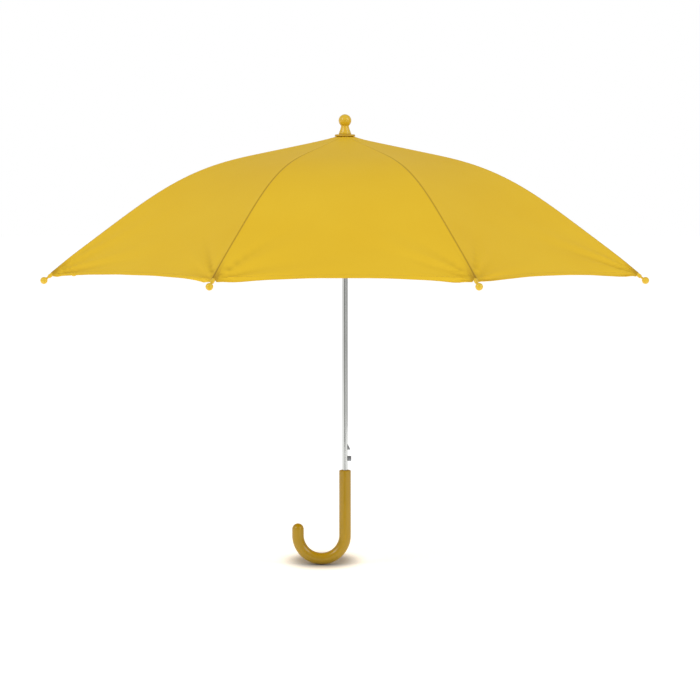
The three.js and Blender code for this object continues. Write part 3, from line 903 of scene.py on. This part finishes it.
# Finial and its washer
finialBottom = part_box("finial")[0][2]
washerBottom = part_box("top_washer")[0][2]
finialPlan = {
    "height": 29 * mm,
    "ball": 9.2 * mm,
    "neck": 5.7 * mm,
    "foot": 9.2 * mm,
    "footHeight": 3.2 * mm,
    "bead": 0.9 * mm,
    "flare": 8.4 * mm,
    "washer": 15 * mm,
    "washerThickness": 2.8 * mm,
}


def finialMoulding():
    ball, neck, foot = finialPlan["ball"], finialPlan["neck"], finialPlan["foot"]
    middle = finialPlan["height"] - ball
    bead, ledge = finialPlan["bead"], finialPlan["footHeight"]
    profile = [(0, 0), (foot - 0.8 * mm, 0)] + arc(foot - bead, bead, bead, -60, 60, 7)
    profile += [(foot - bead, ledge)]
    profile += [(neck + (foot - bead - neck) * (1 - s) ** 1.35, ledge + finialPlan["flare"] * s)
                for s in np.linspace(0.15, 1, 9)]
    start = math.degrees(math.acos(neck / ball))
    profile += arc(0, middle, ball, -start, 88, 34)
    profile += [(0, finialPlan["height"])]
    shape = revolve(profile, 72, (0, 0, finialBottom), bodyAxis)
    piece = newPiece("finialMoulding", *shape, ballPlastic)
    finishPiece(piece, "root", "moulded_plastic", "finial")


def topWasher():
    r, t = finialPlan["washer"], finialPlan["washerThickness"]
    profile = [(4.2 * mm, 0), (r - 0.7 * mm, 0)] + arc(r - 0.8 * mm, 0.8 * mm, 0.8 * mm, -70, 20, 6)
    profile += arc(r - 1.2 * mm, t - 0.7 * mm, 0.7 * mm, 10, 90, 6)
    profile += [(r - 3 * mm, t), (r - 3.4 * mm, t - 0.3 * mm), (r - 3.8 * mm, t), (4.2 * mm, t)]
    shape = revolve(profile, 96, (0, 0, washerBottom), bodyAxis)
    piece = newPiece("washerMoulding", *shape, clampPlastic)
    finishPiece(piece, "root", "clamp_plastic", "top_washer")


finialMoulding()
topWasher()
print("stage: finial")


# Handle
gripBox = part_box("handle")
gripPlan = {
    "radius": 8.6 * mm,
    "hook": 34.5 * mm,
    "leg": 9 * mm,
    "rounding": 1.9 * mm,
    "bore": 4.25 * mm,
    "recess": 1.6 * mm,
    "shaftBottom": -12.8 * mm,
    "edge": 0.2 * mm,
    "partingRidge": 0.1 * mm,
}


def hookGrip():
    r, hook = gripPlan["radius"], gripPlan["hook"]
    bore, recess, corner = gripPlan["bore"], gripPlan["recess"], gripPlan["rounding"]
    top, edge = gripBox[1][2], gripPlan["edge"]
    bend, ledge, wide = -top, top - recess, bore + recess
    straight = [(bore, gripPlan["shaftBottom"] - 0.3 * mm), (bore, ledge), (wide - edge, ledge),
                (wide, ledge + edge), (wide, top - edge), (wide + edge, top)]
    straight += arc(r - corner, top - corner, corner, 88, 0, 9)
    straight += [(r, height) for height in np.linspace(top - corner - 4 * mm, bend, 22)]
    rings = [(bodyAxis * height, -bodyAxis, radius) for radius, height in straight]
    for a in np.linspace(0, math.pi, 64)[1:]:
        middle = np.array([-hook + hook * math.cos(a), 0, bend - hook * math.sin(a)])
        rings.append((middle, np.array([-math.sin(a), 0, -math.cos(a)]), r))
    for s in np.linspace(0.1, 1, 6):
        rings.append((np.array([-2 * hook, 0, bend + gripPlan["leg"] * s]), bodyAxis, r))
    for a in np.radians(np.linspace(6, 88, 15)):
        height = bend + gripPlan["leg"] + r * math.sin(a)
        rings.append((np.array([-2 * hook, 0, height]), bodyAxis, r * math.cos(a)))
    flat = unitRing([1, 0], [0, 1], 64)
    ridge = gripPlan["partingRidge"] * (np.abs(flat[:, 0]) > 0.999)
    loops = []
    for middle, direction, radius in rings:
        size = radius + ridge * (radius > r * 0.99)
        ring = unitRing(np.cross(direction, [0, 1.0, 0]), [0, 1.0, 0], 64)
        loops.append(middle + ring * size[:, None])
    points, faces = loft(loops)
    piece = newPiece("hookGrip", points, faces, gripPlastic, sharp=50)
    finishPiece(piece, "root", "grip_plastic", "handle")


hookGrip()
print("stage: handle")


# Shaft
shaftPlan = {
    "radius": 4.0 * mm,
    "wall": 0.7 * mm,
    "slotWidth": 2.4 * mm,
    "slotBottom": 56.5 * mm,
    "slotTop": 90 * mm,
    "edge": 0.12 * mm,
}


def cutAway(piece, shapes):
    # Cuts closed shapes out of a piece, all at once
    cutter = newPiece("cutter", *joined(*shapes), hubPlastic)
    cut = piece.modifiers.new("cut", "BOOLEAN")
    cut.operation, cut.solver, cut.object = "DIFFERENCE", "EXACT", cutter
    return cutter


def softened(piece, width, cutter=None):
    edge = piece.modifiers.new("edge", "BEVEL")
    edge.width, edge.segments, edge.limit_method = width, 2, "ANGLE"
    edge.angle_limit = math.radians(50)
    finished(piece, cutter)


def turnedTube(profile, around=96):
    # A closed (radius, height) profile turned about the shaft's axis
    ring = unitRing([1, 0, 0], [0, 1, 0], around)
    points, faces = loft([ring * r + bodyAxis * z for r, z in profile], closed=True)
    return points, [face[::-1] for face in faces]


def shaftTube():
    outer = shaftPlan["radius"]
    inner = outer - shaftPlan["wall"]
    bottom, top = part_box("shaft")[0][2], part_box("shaft")[1][2]
    edge = shaftPlan["edge"]
    profile = [(inner, bottom), (outer - edge, bottom), (outer, bottom + edge), (outer, top - edge),
               (outer - edge, top), (inner, top)]
    piece = newPiece("shaftTube", *turnedTube(profile), chrome)
    half = shaftPlan["slotWidth"] / 2
    outline = arc(0, shaftPlan["slotTop"] - half, half, 0, 180, 12)
    outline += arc(0, shaftPlan["slotBottom"] + half, half, 180, 360, 12)
    slot = loft([[(x, y, z) for y, z in outline] for x in (0.5 * mm, 8 * mm)])
    finished(piece, cutAway(piece, [slot]))
    finishPiece(piece, "root", "chromed_steel", "shaft")


shaftTube()
print("stage: shaft")


# Hubs: the crown, the upper slider and the runner
hubPlan = {
    "bore": 4.3 * mm,
    "rim": 9.6 * mm,
    "groove": 7.1 * mm,
    "grooveHalf": 0.9 * mm,
    "slotHalf": 1.8 * mm,
    "slotInner": 5.8 * mm,
    "edge": 0.3 * mm,
    "strutSlotInner": 10.3 * mm,
    "strutSlotHalf": 1.3 * mm,
    "flange": 15.6 * mm,
    "flangeGroove": 12.1 * mm,
    "sleeve": 6.6 * mm,
    "sleeveLip": 0.7 * mm,
    "windowTop": 22.2 * mm,        # below the hinges
    "windowHeight": 11.5 * mm,
    "windowHalf": 1.4 * mm,
}


def slotBoxes(inner, outer, low, high, side, halfWidth):
    corners = [(side - halfWidth, low), (side + halfWidth, low),
               (side + halfWidth, high), (side - halfWidth, high)]
    return [loft([[onRib(rib, r, z, y) for y, z in corners] for r in (inner, outer)])
            for rib in range(1, ribCount + 1)]


def slottedHub(name, body, height, below, above, slotLow, slotHigh):
    bore, rim, groove = hubPlan["bore"], hubPlan["rim"], hubPlan["groove"]
    half = hubPlan["grooveHalf"]
    profile = [(bore, height - below), (rim, height - below), (rim, height - half),
               (groove, height - half), (groove, height + half), (rim, height + half),
               (rim, height + above), (bore, height + above)]
    piece = newPiece(f"{name}Hub", *turnedTube(profile, 64), hubPlastic)
    boxes = slotBoxes(hubPlan["slotInner"], 2 * rim, height + slotLow, height + slotHigh,
                      0, hubPlan["slotHalf"])
    softened(piece, hubPlan["edge"], cutAway(piece, boxes))
    finishPiece(piece, body, "hub_plastic", name)


def runnerHub():
    bore, rim, groove = hubPlan["bore"], hubPlan["flange"], hubPlan["flangeGroove"]
    sleeve, lip, half = hubPlan["sleeve"], hubPlan["sleeveLip"], hubPlan["grooveHalf"]
    height = runnerHinge.z
    bottom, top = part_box("runner")[0][2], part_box("runner")[1][2]
    flangeBottom = height - 4 * mm
    profile = [(bore, bottom), (sleeve + lip, bottom), (sleeve + lip, bottom + 1.6 * mm),
               (sleeve, bottom + 2.4 * mm), (sleeve, flangeBottom - 2.5 * mm)]
    profile += [(sleeve + 2.5 * mm * (1 - math.cos(a)), flangeBottom - 2.5 * mm * (1 - math.sin(a)))
                for a in np.linspace(0.3, math.pi / 2, 5)]
    profile += [(rim, flangeBottom), (rim, height - half), (groove, height - half),
                (groove, height + half), (rim, height + half), (rim, top), (bore, top)]
    piece = newPiece("runnerHub", *turnedTube(profile, 64), hubPlastic)
    boxes = slotBoxes(hubPlan["strutSlotInner"], 2 * rim, height - 2.5 * mm, top + 1 * mm,
                      frameSteel["strutSide"], hubPlan["strutSlotHalf"])
    wide, high = hubPlan["windowHalf"], height - hubPlan["windowTop"]
    corners = [(-wide, high - hubPlan["windowHeight"]), (wide, high - hubPlan["windowHeight"]),
               (wide, high), (-wide, high)]
    boxes.append(loft([[(x, y, z) for y, z in corners] for x in (0.5 * mm, 2 * sleeve)]))
    softened(piece, hubPlan["edge"], cutAway(piece, boxes))
    finishPiece(piece, "runner", "hub_plastic", "runner")


slottedHub("crown", "root", crownZ, 8 * mm, 11.2 * mm, -9 * mm, 5 * mm)
slottedHub("upper_slider", "upper_slider", sliderHinge.z, 6 * mm, 6.5 * mm, -2.2 * mm, 7.5 * mm)
runnerHub()
print("stage: hubs")


# Geometry Nodes: wires, the spring, thread ties and stitches
def startTree(name, sizes):
    tree = bpy.data.node_groups.new(name, "GeometryNodeTree")
    tree.interface.new_socket("Geometry", in_out="INPUT", socket_type="NodeSocketGeometry")
    for key in sizes:
        tree.interface.new_socket(key, in_out="INPUT", socket_type="NodeSocketFloat")
    tree.interface.new_socket("Finish", in_out="INPUT", socket_type="NodeSocketMaterial")
    tree.interface.new_socket("Geometry", in_out="OUTPUT", socket_type="NodeSocketGeometry")
    return tree, addNode(tree, "NodeGroupInput", {})


def endTree(tree, source, shape, output):
    real = addNode(tree, "GeometryNodeRealizeInstances", {}, {"Geometry": (shape, output)})
    painted = addNode(tree, "GeometryNodeSetMaterial", {}, {
        "Geometry": (real, "Geometry"), "Material": (source, "Finish")})
    addNode(tree, "NodeGroupOutput", {}, {"Geometry": (painted, "Geometry")})
    return tree


def roundWire(tree, source, path, sides, height):
    # Gives a curve its round section, at a height
    section = addNode(tree, "GeometryNodeCurvePrimitiveCircle", {"Resolution": sides}, {
        "Radius": (source, "Wire")})
    wire = addNode(tree, "GeometryNodeCurveToMesh", {"Fill Caps": True}, {
        "Curve": (path, "Curve"), "Profile Curve": (section, "Curve")})
    lift = addNode(tree, "ShaderNodeCombineXYZ", {}, {"Z": (source, height)})
    raised = addNode(tree, "GeometryNodeTransform", {}, {
        "Geometry": (wire, "Mesh"), "Translation": (lift, "Vector")})
    return endTree(tree, source, raised, "Geometry")


def wireTree():
    tree, source = startTree("wireRing", ["Radius", "Wire", "Height"])
    ring = addNode(tree, "GeometryNodeCurvePrimitiveCircle", {"Resolution": 96}, {
        "Radius": (source, "Radius")})
    return roundWire(tree, source, ring, 12, "Height")


def springTree():
    tree, source = startTree("coilSpring", ["Radius", "Wire", "Bottom", "Length", "Turns"])
    coil = addNode(tree, "GeometryNodeCurveSpiral", {"Resolution": 40}, {
        "Start Radius": (source, "Radius"), "End Radius": (source, "Radius"),
        "Height": (source, "Length"), "Rotations": (source, "Turns")})
    return roundWire(tree, source, coil, 10, "Bottom")


def pointsOn(tree, source, settings, links):
    # Points along the piece's own edges, and the direction of the edge at each
    path = addNode(tree, "GeometryNodeMeshToCurve", {}, {"Mesh": (source, "Geometry")})
    points = addNode(tree, "GeometryNodeResampleCurve", settings, {
        "Curve": (path, "Curve"), **links})
    return points, addNode(tree, "GeometryNodeInputTangent", {})


def rowOf(tree, source, points, shape, rotation):
    row = addNode(tree, "GeometryNodeInstanceOnPoints", {}, {
        "Points": (points, "Curve"), "Instance": shape, "Rotation": (rotation, "Rotation")})
    return endTree(tree, source, row, "Instances")


def stitchTree():
    # Short rounded stitches, end to end along the piece's own edges
    tree, source = startTree("stitchRow", ["Pitch", "Length", "Thread"])
    even, along = pointsOn(tree, source, {"mode": "LENGTH"}, {"Length": (source, "Pitch")})
    bead = addNode(tree, "GeometryNodeMeshUVSphere", {"Segments": 6, "Rings": 4, "Radius": 0.5})
    size = addNode(tree, "ShaderNodeCombineXYZ", {}, {
        "X": (source, "Length"), "Y": (source, "Thread"), "Z": (source, "Thread")})
    stitch = addNode(tree, "GeometryNodeTransform", {}, {
        "Geometry": (bead, "Mesh"), "Scale": (size, "Vector")})
    turned = addNode(tree, "FunctionNodeAlignRotationToVector", {"axis": "X"}, {
        "Vector": (along, "Tangent")})
    return rowOf(tree, source, even, (stitch, "Geometry"), turned)


def tieTree():
    # A few turns of thread round each of the piece's own edges
    tree, source = startTree("threadTie", ["Width", "Height", "Thread"])
    even, along = pointsOn(tree, source, {"mode": "COUNT", "Count": 4}, {})
    ring = addNode(tree, "GeometryNodeCurvePrimitiveCircle", {"Resolution": 14, "Radius": 0.5})
    size = addNode(tree, "ShaderNodeCombineXYZ", {"Z": 1.0}, {
        "X": (source, "Width"), "Y": (source, "Height")})
    oval = addNode(tree, "GeometryNodeTransform", {}, {
        "Geometry": (ring, "Curve"), "Scale": (size, "Vector")})
    section = addNode(tree, "GeometryNodeCurvePrimitiveCircle", {"Resolution": 6}, {
        "Radius": (source, "Thread")})
    loop = addNode(tree, "GeometryNodeCurveToMesh", {}, {
        "Curve": (oval, "Geometry"), "Profile Curve": (section, "Curve")})
    facing = addNode(tree, "FunctionNodeAlignRotationToVector", {"axis": "Z"}, {
        "Vector": (along, "Tangent")})
    upright = addNode(tree, "FunctionNodeAlignRotationToVector", {
        "axis": "Y", "pivot_axis": "Z", "Vector": (0, 0, 1)}, {"Rotation": (facing, "Rotation")})
    return rowOf(tree, source, even, (loop, "Mesh"), upright)


def grown(name, tree, sizes, finish, paths=()):
    # Runs a tree over open paths of points, and keeps its result as a plain mesh
    mesh = bpy.data.meshes.new(name)
    points, edges = [], []
    for path in paths:
        edges += [(len(points) + k, len(points) + k + 1) for k in range(len(path) - 1)]
        points += [tuple(point) for point in path]
    mesh.from_pydata(points, edges, [])
    piece = bpy.data.objects.new(name, mesh)
    bpy.context.scene.collection.objects.link(piece)
    nodes = piece.modifiers.new(name, "NODES")
    nodes.node_group = tree
    for socket in tree.interface.items_tree:
        if socket.in_out == "INPUT" and socket.name in sizes:
            nodes[socket.identifier] = sizes[socket.name]
        if socket.in_out == "INPUT" and socket.name == "Finish":
            nodes[socket.identifier] = finish
    return finished(piece)


wirePlan = {
    "wire": 0.6 * mm,
    "runnerRadius": 13.01 * mm,
    "springRadius": 5.7 * mm,
    "springWire": 0.55 * mm,
    "springTurns": 9.0,
    "springKeep": 0.48,
}
ringTree = wireTree()
wires = {
    "crown_wire": ("crownWire", "root", hingeRadius, crownZ),
    "upper_slider_wire": ("sliderWire", "upper_slider", hingeRadius, sliderHinge.z),
    "runner_wire": ("runnerWire", "runner", wirePlan["runnerRadius"], runnerHinge.z),
}
for node, (name, body, radius, height) in wires.items():
    wire = grown(name, ringTree, {
        "Radius": radius, "Wire": wirePlan["wire"], "Height": height}, springSteel)
    finishPiece(wire, body, "spring_steel", node)
springBottom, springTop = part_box("opening_spring")[0][2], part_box("opening_spring")[1][2]
coil = grown("openingCoil", springTree(), {
    "Radius": wirePlan["springRadius"], "Wire": wirePlan["springWire"],
    "Bottom": springBottom + wirePlan["springWire"], "Turns": wirePlan["springTurns"],
    "Length": springTop - springBottom - 2 * wirePlan["springWire"]}, springSteel)
finishPiece(coil, "upper_slider", "spring_steel", "opening_spring")
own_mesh(coil)
print("stage: wires and spring")


# The catch: one strip of spring steel with the latch and the button folded out of it
catchPlan = {
    "width": 1.6 * mm,
    "face": 2.6 * mm,
    "thickness": 1.1 * mm,
    "foot": 30.2 * mm,
    "buttonBottom": 61.5 * mm,
    "buttonHeight": 7.3 * mm,
    "buttonReach": 9.2 * mm,
    "latchBottom": 78.0 * mm,
    "latchHeight": 10 * mm,
    "latchReach": 7.6 * mm,
    "corner": 0.8 * mm,
    "edge": 0.16 * mm,
}


def catchStrip():
    face, back = catchPlan["face"], catchPlan["face"] - catchPlan["thickness"]
    foot, low, latch = catchPlan["foot"], catchPlan["buttonBottom"], catchPlan["latchBottom"]
    high = low + catchPlan["buttonHeight"]
    reach, point, corner = catchPlan["buttonReach"], catchPlan["latchReach"], catchPlan["corner"]
    top = latch + catchPlan["latchHeight"]
    outline = [(-face, foot), (face - 0.6 * mm, foot), (face, foot + 8 * mm), (face, low)]
    outline += arc(reach - corner, low + corner, corner, 270, 360, 6)
    outline += arc(reach - corner, high - corner, corner, 0, 90, 6)
    outline += [(face, high), (face, latch), (point, latch), (point, latch + corner),
                (face + 0.6 * mm, top), (back, top), (back, foot + 3 * mm), (-face, foot + 3 * mm)]
    half = catchPlan["width"] / 2
    shape = loft([[(x, y, z) for x, z in outline] for y in (half, -half)])
    piece = newPiece("catchStrip", *shape, springSteel)
    softened(piece, catchPlan["edge"])
    finishPiece(piece, "catch", "spring_steel", "catch")


catchStrip()
print("stage: catch")


# Thread: the ties that hold the fabric to the ribs, and the hem's stitches
threadPlan = {
    "innerTies": (96 * mm,),
    "outerTies": (262 * mm, 345 * mm),
    "tieLength": 2.2 * mm,
    "tieThread": 0.22 * mm,
    "tieDrop": 0.9 * mm,       # keeps the loop's top within the fabric
    "tieShort": 2.2 * mm,
    "stitchPitch": 3.2 * mm,
    "stitchLength": 2.3 * mm,
    "stitchThread": 0.36 * mm,
}
tiesTree, rowTree = tieTree(), stitchTree()


def threadTies(rib, body, radii):
    paths = []
    for radius in radii:
        rise = float(fabricHeight(radius) - ribHeight(radius)) / 2
        half = threadPlan["tieLength"] / 2
        paths.append([onRib(rib, r, float(ribHeight(r)) + rise - threadPlan["tieDrop"])
                      for r in (radius - half, radius + half)])
    height = 2 * rise + frameSteel["ribHeight"] - threadPlan["tieShort"]
    ties = grown(f"{body}Ties", tiesTree, {
        "Width": frameSteel["ribWidth"] + 0.5 * mm, "Height": height,
        "Thread": threadPlan["tieThread"]}, thread, paths)
    finishPiece(ties, body, "canopy_fabric")


def hemStitches(rib):
    column = np.linspace(-1, 1, 121)[None, :]
    radius = hemLine(column, sheetPlan["stitchInset"])
    middle, _ = fabricPoints(rib, radius, column)
    normal = surfaceNormal(rib, radius, column)
    path = (middle + normal * sheetPlan["thickness"] * 0.7)[0]
    row = grown(f"hemStitches_{rib}", rowTree, {
        "Pitch": threadPlan["stitchPitch"], "Length": threadPlan["stitchLength"],
        "Thread": threadPlan["stitchThread"]}, thread, [path])
    finishPiece(row, f"rib_end_{rib}", "canopy_fabric")
    return row


stitches = {}
for rib in range(1, ribCount + 1):
    threadTies(rib, f"rib_{rib}", threadPlan["innerTies"])
    threadTies(rib, f"rib_end_{rib}", threadPlan["outerTies"])
    stitches[rib] = hemStitches(rib)
    crumple(stitches[rib])
    crumple(hems[rib])
for sheet, rib, part in sheets.values():
    crumple(sheet)
print("stage: thread")
